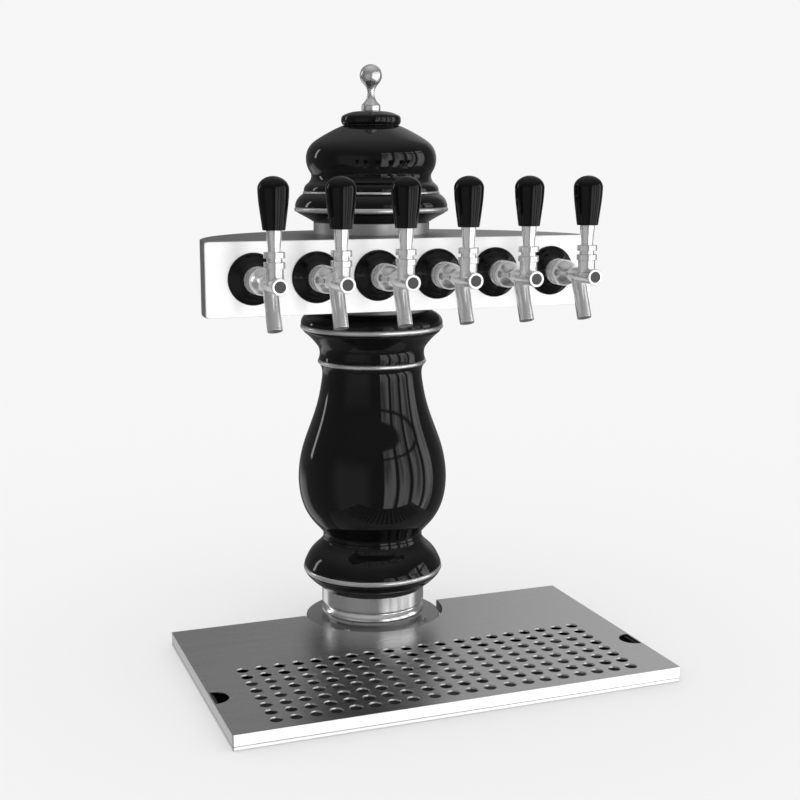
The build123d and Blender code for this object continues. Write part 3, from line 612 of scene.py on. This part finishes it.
def knob_mesh():
    """Black handle: a cone that widens upwards under a low dome."""
    height = KNOB_TOP - KNOB_WIDE_Z
    dome = [(x, KNOB_WIDE_Z + height * y / KNOB_R) for x, y in arc(KNOB_R, 0, 0, 90)]
    dome[-1] = (0, KNOB_TOP)
    return turned_mesh("tap_knob", KNOB_BLACK,
                       [(0, STUD_TOP + 0.2), (STUD_R + 0.1, STUD_TOP + 0.2), (STUD_R + 0.1, KNOB_Z),
                        (12.7, KNOB_Z), (13.4, KNOB_Z + 0.2)]
                       + curve((13.7, KNOB_Z + 0.9), (14.6, 600.0), (16.6, 615.0), (18.1, 628.0),
                               (KNOB_R, KNOB_WIDE_Z))[:-1]
                       + dome)


six(rosette_mesh(), "rosette", tap_frame, "tower", "escutcheons")
six(coupling_mesh(), "coupling", tap_frame, "tower", "coupling_nuts")
six(faucet_mesh(), "faucet", tap_frame, "tower", "faucet_bodies")
six(cap_mesh(), "front_cap", tap_frame, "tower", "faucet_caps")
six(button_mesh(), "cap_button", tap_frame, "tower", "cap_discs")
six(lever_mesh(), "tap_lever", stem_frame, "tap_lever_{}", "lever_{}")
six(knob_mesh(), "tap_knob", stem_frame, "tap_lever_{}", "knob_{}")

# ---- tools for sheet metal -----------------------------------------------------------------


def ring_of(bm, points, height):
    return [bm.verts.new((x * MM, y * MM, height * MM)) for x, y in points]


def bridge(bm, one, two):
    for k in range(len(one)):
        following = (k + 1) % len(one)
        bm.faces.new((one[k], one[following], two[following], two[k]))


def fill(bm, *loops):
    """Flat face across the first loop, with the others as holes in it."""
    edges = []
    for loop in loops:
        for k, vert in enumerate(loop):
            pair = (vert, loop[(k + 1) % len(loop)])
            edges.append(bm.edges.get(pair) or bm.edges.new(pair))
    bmesh.ops.triangle_fill(bm, use_beauty=True, use_dissolve=False, edges=edges)


def bent_sheet(bm, outline, profile, top_holes=(), bottom_holes=()):
    """Sweep a profile of (inset, height) round an outline that is a function of the inset.

    Flat faces close its two ends. The holes are loops that are already in the mesh.
    """
    loops = [ring_of(bm, outline(inset), height) for inset, height in profile]
    for one, two in zip(loops, loops[1:]):
        bridge(bm, one, two)
    fill(bm, loops[0], *top_holes)
    fill(bm, loops[-1], *bottom_holes)


def block(bm, plan, top, bottom):
    """Straight block on a four-sided plan."""
    faces = [ring_of(bm, plan, z) for z in (top, bottom)]
    bridge(bm, *faces)
    for loop in faces:
        bm.faces.new(loop)


def rectangle(left, right, near, far):
    return [(left, near), (right, near), (right, far), (left, far)]


def circle(x, y, radius, count=28):
    angles = (math.tau * k / count for k in range(count))
    return [(x + radius * math.cos(a), y + radius * math.sin(a)) for a in angles]


def offset(loop, amount):
    """A round loop made larger by amount."""
    centre = Vector((sum(x for x, _ in loop), sum(y for _, y in loop))) / len(loop)
    return [tuple(Vector(p) + (Vector(p) - centre).normalized() * amount) for p in loop]


def holes_through(bm, loops, top, profile):
    """Openings through a sheet, each wall following a profile of (growth, depth) from the top.

    Returns the rims at both faces.
    """
    uppers, lowers = [], []
    for loop in loops:
        rings = [ring_of(bm, offset(loop, growth), top - depth) for growth, depth in profile]
        for one, two in zip(rings, rings[1:]):
            bridge(bm, one, two)
        uppers.append(rings[0])
        lowers.append(rings[-1])
    return uppers, lowers


# ---- drip tray -----------------------------------------------------------------------------

tray_near, tray_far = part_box("drip_pan")
TRAY_LEFT, TRAY_RIGHT = tray_near.x / MM, tray_far.x / MM
TRAY_FRONT, TRAY_BACK = tray_near.y / MM, tray_far.y / MM
TRAY_TOP, SKIRT_LOW = high("drip_grid"), low("grid_frame")
BAY_R, TRAY_CORNER, LEAST_CORNER, BAY_STEPS = 103.0, 1.6, 0.15, 64
GRID_T, SKIRT_T, LID_EDGE = 1.5, 2.0, 0.6
RIB_L, RIB_T, RIB_H, RIB_ROWS = 524.0, 1.6, 8.0, (1, 3, 5)
HOLE_R, PITCH_X, PITCH_Y, ROWS, FIRST_ROW_Y = 7.7, 25.0, 23.57, 8, -172.0
SIDE_COLUMNS, SIDE_FIRST_X, MIDDLE_COLUMNS = 8, 65.7, 4
NOTCH_R, NOTCH_DEPTH, NOTCH_Y, NOTCH_GAP, NOTCH_STEPS = 19.5, 23.0, -248.0, 0.3, 40
PAN_LOW, RIM_H, PAN_TOP, PAN_INSET, PAN_WALL, PAN_FLOOR = 1.0, 5.6, 18.0, 5.0, 1.5, 2.5
# Walls of the openings as (growth, depth). Each drain hole is pressed down into a short cone, so
# that its far side catches the light.
PRESSED_HOLE = [(0.9, 0), (0.66, 0.1), (0.5, 0.4), (0.05, 2.0), (0.55, 2.0), (0.75, GRID_T)]
CUT_HOLE = [(0.25, 0), (0, 0.25), (0, GRID_T)]


def tray_outline(inset):
    """Rectangle with the half-round bay for the tower, shrunk by inset."""
    left, right = TRAY_LEFT + inset, TRAY_RIGHT - inset
    front, back = TRAY_FRONT + inset, TRAY_BACK - inset
    bay = BAY_R + inset
    mouth = math.sqrt(bay ** 2 - back ** 2)
    soft = max(TRAY_CORNER - inset, LEAST_CORNER)
    start = math.atan2(back, mouth)
    sweep = math.pi + 2 * start
    bay_angles = (start - sweep * k / BAY_STEPS for k in range(BAY_STEPS + 1))
    return (corner((0, front), (right, front), (right, 0), soft)
            + corner((right, front), (right, back), (0, back), soft)
            + [(bay * math.cos(a), bay * math.sin(a)) for a in bay_angles]
            + corner((0, back), (left, back), (left, 0), soft)
            + corner((left, back), (left, front), (0, front), soft))


def finger_notch(side):
    """Half-round finger hole that ends at the lid's skirt."""
    centre = TRAY_RIGHT - NOTCH_DEPTH + NOTCH_R
    stop = TRAY_RIGHT - SKIRT_T - NOTCH_GAP
    first = math.acos((stop - centre) / NOTCH_R)
    angles = [first + (math.tau - 2 * first) * k / NOTCH_STEPS for k in range(NOTCH_STEPS + 1)]
    return [(side * (centre + NOTCH_R * math.cos(a)), NOTCH_Y + NOTCH_R * math.sin(a))
            for a in angles]


def tray_lid_mesh():
    """Perforated lid with folded edges and three ribs under it."""
    columns = [side * (SIDE_FIRST_X + PITCH_X * i) for side in (-1, 1) for i in range(SIDE_COLUMNS)]
    columns += [PITCH_X * (i - (MIDDLE_COLUMNS - 1) / 2) for i in range(MIDDLE_COLUMNS)]
    rows = [FIRST_ROW_Y - PITCH_Y * i for i in range(ROWS)]
    bm = bmesh.new()
    drains = [circle(x, y, HOLE_R) for x in columns for y in rows]
    rims, feet = holes_through(bm, drains, TRAY_TOP, PRESSED_HOLE)
    notches = holes_through(bm, [finger_notch(-1), finger_notch(1)], TRAY_TOP, CUT_HOLE)
    edge = corner((0, SKIRT_LOW), (0, TRAY_TOP), (10, TRAY_TOP), LID_EDGE, steps=3)[::-1]
    under = TRAY_TOP - GRID_T
    bent_sheet(bm, tray_outline, edge + [(0, SKIRT_LOW), (SKIRT_T, SKIRT_LOW), (SKIRT_T, under)],
               rims + notches[0], feet + notches[1])
    for row in RIB_ROWS:
        y = (rows[row] + rows[row + 1]) / 2
        plan = rectangle(-RIB_L / 2, RIB_L / 2, y - RIB_T / 2, y + RIB_T / 2)
        block(bm, plan, under, under - RIB_H)
    lid = finish_mesh(bm, "tray_lid", GRID_STEEL)
    lid.materials.append(PAINTED_SHADE_STEEL)
    for face in lid.polygons:
        # The wall of the bay stands close to the flange, in its shade, which is painted on as the
        # darker steel.
        upright = abs(face.normal.z) < 0.1
        face.material_index = int(upright and face.center.xy.length / MM < BAY_R + 1)
    return lid


def tray_pan_mesh():
    """Basin with a rim that the lid rests on."""
    inner = PAN_INSET + PAN_WALL
    bm = bmesh.new()
    bent_sheet(bm, tray_outline,
               [(0.4, PAN_LOW), (0, PAN_LOW + 0.4), (0, RIM_H - 0.4), (0.4, RIM_H),
                (PAN_INSET, RIM_H), (PAN_INSET, PAN_TOP - 0.3), (PAN_INSET + 0.3, PAN_TOP),
                (inner - 0.3, PAN_TOP), (inner, PAN_TOP - 0.3), (inner, PAN_FLOOR)])
    pan = finish_mesh(bm, "tray_pan", PAN_STEEL)
    pan.materials.append(PAINTED_SHADE_STEEL)
    # Faces inside the basin, from the rim up and on its floor, get the darker steel as painted
    # shade.
    for face in pan.polygons:
        height = face.center.z / MM
        face.material_index = int(height > RIM_H - 0.3 or abs(height - PAN_FLOOR) < 0.1)
    return pan


show(tray_lid_mesh(), "tray_lid", "drip_lid", ["drip_grid", "grid_frame"])
show(tray_pan_mesh(), "tray_pan", "drip_tray", ["drip_pan", "pan_walls"])

# ---- tap box: half-round shell, lid with a lip, flat front plate ---------------------------

BOX_R, BOX_STEPS, FRONT_T, SHEET, FLOOR_T, LID_T = 271.0, 120, 3.0, 2.0, 2.5, 2.5
LIP_H, LIP_GAP = 13.0, 0.3
BOX_HOLE_R, BOX_HOLE_STEPS = 66.0, 64
WINDOW_ENDS, WINDOW_EDGES = 20, 12      # what the opening behind the front plate leaves standing
FRONT_CORNER, SHANK_HOLE_STEPS = 4.0, 40
BOX_LOW, BOX_HIGH = low("box_shell"), high("box_lid")
FRONT_MM = FRONT_Y / MM


def half_round(inset):
    """Plan of the box behind its front plate, shrunk by inset."""
    radius, chord = BOX_R - inset, FRONT_T + inset
    start = math.asin(chord / radius)
    angles = (start + (math.pi - 2 * start) * k / BOX_STEPS for k in range(BOX_STEPS + 1))
    return [(radius * math.cos(a), FRONT_MM + radius * math.sin(a)) for a in angles]


def plate_with_hole(bm, top, bottom, profile):
    """A half-round sheet, with the column's round hole between the heights top and bottom."""
    shaft = [ring_of(bm, circle(0, 0, BOX_HOLE_R, BOX_HOLE_STEPS), z) for z in (top, bottom)]
    bridge(bm, *shaft)
    bent_sheet(bm, half_round, profile, [shaft[0]], [shaft[1]])


def half_shell_mesh():
    """Floor and round wall, open at the front behind the plate."""
    bm = bmesh.new()
    plate_with_hole(bm, BOX_LOW + FLOOR_T, BOX_LOW,
                    [(SHEET, BOX_LOW + FLOOR_T), (SHEET, BOX_HIGH - LID_T), (0, BOX_HIGH - LID_T),
                     (0, BOX_LOW + 0.8), (0.25, BOX_LOW + 0.25), (0.8, BOX_LOW)])
    shell = finish_mesh(bm, "half_shell", BOX_SHEET)
    bm = bmesh.new()
    half_width = BOX_R - WINDOW_ENDS
    block(bm, rectangle(-half_width, half_width, FRONT_MM - 5, FRONT_MM + 8),
          BOX_HIGH - WINDOW_EDGES, BOX_LOW + WINDOW_EDGES)
    shell = merge("DIFFERENCE", shell, finish_mesh(bm, "window", BOX_SHEET))
    shell.name = "half_shell"
    smooth(shell)
    return shell


def box_top_mesh():
    """Top plate with a lip inside the wall."""
    under = BOX_HIGH - LID_T
    lip = SHEET + LIP_GAP
    bm = bmesh.new()
    plate_with_hole(bm, BOX_HIGH, under,
                    [(0.8, BOX_HIGH), (0.25, BOX_HIGH - 0.25), (0, BOX_HIGH - 0.8), (0, under),
                     (lip, under), (lip, under - LIP_H), (lip + SHEET, under - LIP_H),
                     (lip + SHEET, under)])
    return finish_mesh(bm, "box_top", BOX_SHEET)


def front_plan(inset):
    """Rounded rectangle of the front plate, drawn flat and stood up afterwards."""
    across = BOX_R - inset
    plan = rectangle(-across, across, BOX_LOW + inset, BOX_HIGH - inset)
    return rounded(plan, FRONT_CORNER - inset, steps=6)


def front_plate_mesh():
    """Front plate with a hole for each shank."""
    bm = bmesh.new()
    shank_holes = [circle(x / MM, TAP_HEIGHT, SHANK_R, SHANK_HOLE_STEPS) for x in TAP_X]
    rims, feet = holes_through(bm, shank_holes, FRONT_T, [(0.2, 0), (0, 0.2), (0, FRONT_T)])
    bent_sheet(bm, front_plan, [(0.9, FRONT_T), (0.27, FRONT_T - 0.27), (0, FRONT_T - 0.9),
                                (0, 0.2), (0.2, 0)], rims, feet)
    front = finish_mesh(bm, "front_plate", FRONT_SHEET)
    front.transform(Matrix.Translation((0, FRONT_Y + FRONT_T * MM, 0)) @ FORWARD)
    return front


show(half_shell_mesh(), "half_shell", "tower", ["box_shell"])
show(box_top_mesh(), "box_top", "tower", ["box_lid"])
show(front_plate_mesh(), "front_plate", "tower", ["box_front"])

# ---- studio light --------------------------------------------------------------------------

# The camera sees a pale backdrop and rough surfaces get even light, while metal and glaze mirror
# a room with a window. Bearings and heights are in degrees, bearings from -Y towards +X.
BACKDROP = 0.925          # what the camera sees behind and under the object
FLOOR_WHITE = 0.8
SHADOW_SHARE = 0.6        # how much of the floor's brightness can be shaded by the object

# Window: four tall panes side by side, each in two parts above and below a transom
PANE, PANE_SHARE, PANE_SOFT, WINDOW_LIGHT = 23.5, 0.78, 0.03, 1.8
WINDOW, WINDOW_SOFT = (-1.0, 88.0), 0.6
BELOW_TRANSOM, ABOVE_TRANSOM = (-38.0, 17.5, 1.0), (19.5, 25.0, 0.6)
# What shows through it is streaky, from dim to bright
STREAKS_ACROSS, STREAKS_UP, STREAK_SCALE, STREAK_DETAIL = 0.07, 0.012, 1.6, 1.0
STREAK_RANGE, DIM, BRIGHT = (0.34, 0.62), 0.35, 1.2
# The room is brighter overhead
ROOM_HEIGHTS, ROOM_LOW, ROOM_HIGH = (15.0, 80.0), 0.15, 0.55
PATCHES = (
    ((-136.5, -131.5), (2.0, 26.0), 4.0, 1.0),          # far window on the left
    ((-172.0, -143.0), (-42.0, -10.0), 0.55, 4.0),      # pale wall behind on the left
    ((128.0, 158.0), (0.0, 45.0), 0.3, 10.0),           # pale wall behind on the right
    ((-80.0, -25.0), (-42.0, 12.0), 0.25, 10.0),        # pale floor in front on the left
)

world = bpy.data.worlds.new("studio")
bpy.context.scene.world = world
world.use_nodes = True
world.cycles.sampling_method = "NONE"
sky = world.node_tree
sky.nodes.clear()


def feed(socket, value):
    """Connect a socket, or set it to a number."""
    if isinstance(value, bpy.types.NodeSocket):
        sky.links.new(value, socket)
    else:
        socket.default_value = value


def math_node(operation, *values):
    node = sky.nodes.new("ShaderNodeMath")
    node.operation = operation
    for socket, value in zip(node.inputs, values):
        feed(socket, value)
    return node.outputs[0]


def times(*values):
    """Product of two or more values."""
    product = values[0]
    for value in values[1:]:
        product = math_node("MULTIPLY", product, value)
    return product


def ramp(value, start, end, low_value=0.0, high_value=1.0):
    """Smooth step from low_value at start to high_value at end."""
    node = sky.nodes.new("ShaderNodeMapRange")
    node.interpolation_type = "SMOOTHSTEP"
    for socket, number in zip(node.inputs, (value, start, end, low_value, high_value)):
        feed(socket, number)
    return node.outputs[0]


def between(value, start, end, soft):
    """1 inside start..end and 0 outside, with soft ends."""
    return times(ramp(value, start - soft, start + soft),
                 ramp(value, end - soft, end + soft, 1.0, 0.0))


def window_light(bearing, height):
    """Brightness of the window in one direction."""
    phase = math_node("FRACT", math_node("DIVIDE", math_node("ADD", bearing, -WINDOW[0]), PANE))
    panes = times(between(phase, 0.0, PANE_SHARE, PANE_SOFT),
                  between(bearing, *WINDOW, WINDOW_SOFT))
    opening = math_node("ADD", between(height, *BELOW_TRANSOM), between(height, *ABOVE_TRANSOM))
    place = sky.nodes.new("ShaderNodeCombineXYZ")
    feed(place.inputs["X"], times(bearing, STREAKS_ACROSS))
    feed(place.inputs["Y"], times(height, STREAKS_UP))
    streaks = sky.nodes.new("ShaderNodeTexNoise")
    feed(streaks.inputs["Vector"], place.outputs[0])
    feed(streaks.inputs["Scale"], STREAK_SCALE)
    feed(streaks.inputs["Detail"], STREAK_DETAIL)
    outdoors = ramp(streaks.outputs["Fac"], *STREAK_RANGE, DIM, BRIGHT)
    return times(panes, opening, outdoors, WINDOW_LIGHT)


def room_light():
    """Brightness of the mirrored room in every direction."""
    direction = sky.nodes.new("ShaderNodeTexCoord").outputs["Generated"]
    split = sky.nodes.new("ShaderNodeSeparateXYZ")
    sky.links.new(direction, split.inputs[0])
    across, along, up = split.outputs
    degrees = 180 / math.pi
    bearing = times(math_node("ARCTAN2", across, times(along, -1.0)), degrees)
    height = times(math_node("ARCSINE", up), degrees)
    room = ramp(height, *ROOM_HEIGHTS, ROOM_LOW, ROOM_HIGH)
    room = math_node("ADD", room, window_light(bearing, height))
    for bearings, heights, radiance, soft in PATCHES:
        lit = times(between(bearing, *bearings, soft), between(height, *heights, soft), radiance)
        room = math_node("ADD", room, lit)
    return room


path = sky.nodes.new("ShaderNodeLightPath").outputs
seen = times(path["Is Camera Ray"], BACKDROP)
even = times(path["Is Diffuse Ray"], BACKDROP / FLOOR_WHITE)
mirrored = times(path["Is Glossy Ray"], room_light())
background = sky.nodes.new("ShaderNodeBackground")
feed(background.inputs["Color"], (1, 1, 1, 1))
feed(background.inputs["Strength"], math_node("ADD", math_node("ADD", seen, even), mirrored))
output = sky.nodes.new("ShaderNodeOutputWorld")
sky.links.new(background.outputs[0], output.inputs["Surface"])

# ---- floor and camera ----------------------------------------------------------------------

FLOOR_SIZE = 60
CAMERA_PLACE = (-0.6206, -1.7612, 0.6639)
CAMERA_BEARING, CAMERA_PITCH = math.radians(-20.652), math.radians(9.9935)
LENS, SENSOR = 58.97, 36.0

bpy.ops.mesh.primitive_plane_add(size=FLOOR_SIZE)
floor = bpy.context.object
floor.name = "floor"
paint = Shader("floor_paint", base_color=(*grey(FLOOR_WHITE * SHADOW_SHARE), 1), roughness=1.0,
               specular_ior_level=0.0, emission_color=(1, 1, 1, 1),
               emission_strength=BACKDROP * (1 - SHADOW_SHARE))
floor.data.materials.append(paint.material)
floor.visible_glossy = False
floor.visible_diffuse = False
floor.visible_shadow = False

camera_data = bpy.data.cameras.new("camera")
camera_data.sensor_width = SENSOR
camera_data.lens = LENS
camera = bpy.data.objects.new("camera", camera_data)
bpy.context.scene.collection.objects.link(camera)
back = Vector((math.sin(CAMERA_BEARING) * math.cos(CAMERA_PITCH),
               -math.cos(CAMERA_BEARING) * math.cos(CAMERA_PITCH), math.sin(CAMERA_PITCH)))
right = Vector((math.cos(CAMERA_BEARING), math.sin(CAMERA_BEARING), 0))
camera.matrix_world = (Matrix.Translation(CAMERA_PLACE)
                       @ Matrix((right, back.cross(right), back)).transposed().to_4x4())
bpy.context.scene.camera = camera
bpy.context.scene.view_settings.view_transform = "Standard"
